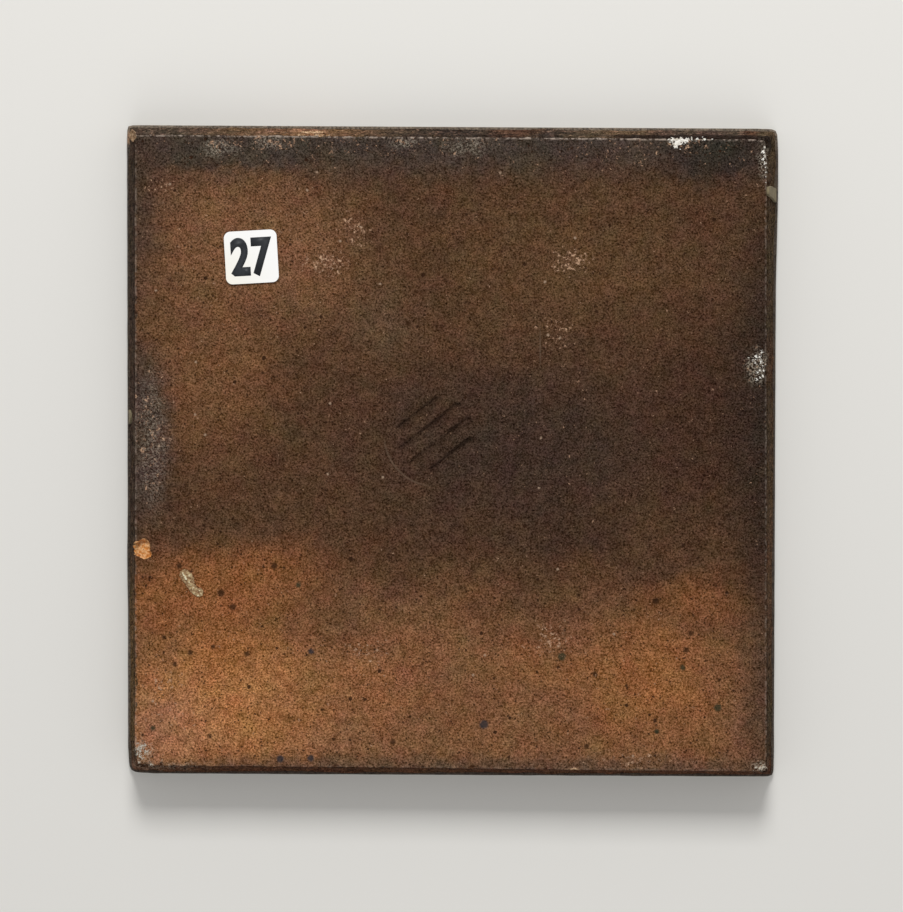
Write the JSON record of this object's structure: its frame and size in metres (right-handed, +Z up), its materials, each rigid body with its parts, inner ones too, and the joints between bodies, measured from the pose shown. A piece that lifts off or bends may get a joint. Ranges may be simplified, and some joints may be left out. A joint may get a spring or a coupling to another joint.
{
  "type": "ceramic wall tile",
  "caption": "Square stoneware wall tile lying on its plain glazed front, with a flame-marked unglazed back, flared sides, worn edges and a small round-cornered sticker.",
  "frame": {"origin": "on the ground under the middle of the glazed front, the centre of the bounding box's bottom face", "axes": "+X to the tile's right and +Y to its top edge as seen from the back, +Z up, out of the unglazed back"},
  "size_m": [0.15, 0.15, 0.0127],
  "materials": {
    "clay": "unglazed stoneware, matt and granular, flame-marked from dark grey-brown to orange-brown",
    "glaze": "glossy grey-green glaze with a cream break at the edge",
    "adhesive": "clear pressure-sensitive glue film, faintly yellowed",
    "paper": "smooth coated white paper with black printed numerals",
    "plaster": "crumbly white plaster"
  },
  "bodies": {
    "root": {"clay_body": "clay", "face_glaze": "glaze", "label_adhesive": "adhesive", "label_paper": "paper", "plaster_top_edge": "plaster", "plaster_right_upper": "plaster", "plaster_right_middle": "plaster", "plaster_bottom_left": "plaster", "plaster_bottom_right": "plaster", "glaze_smear": "glaze"}
  },
  "joints": []
}
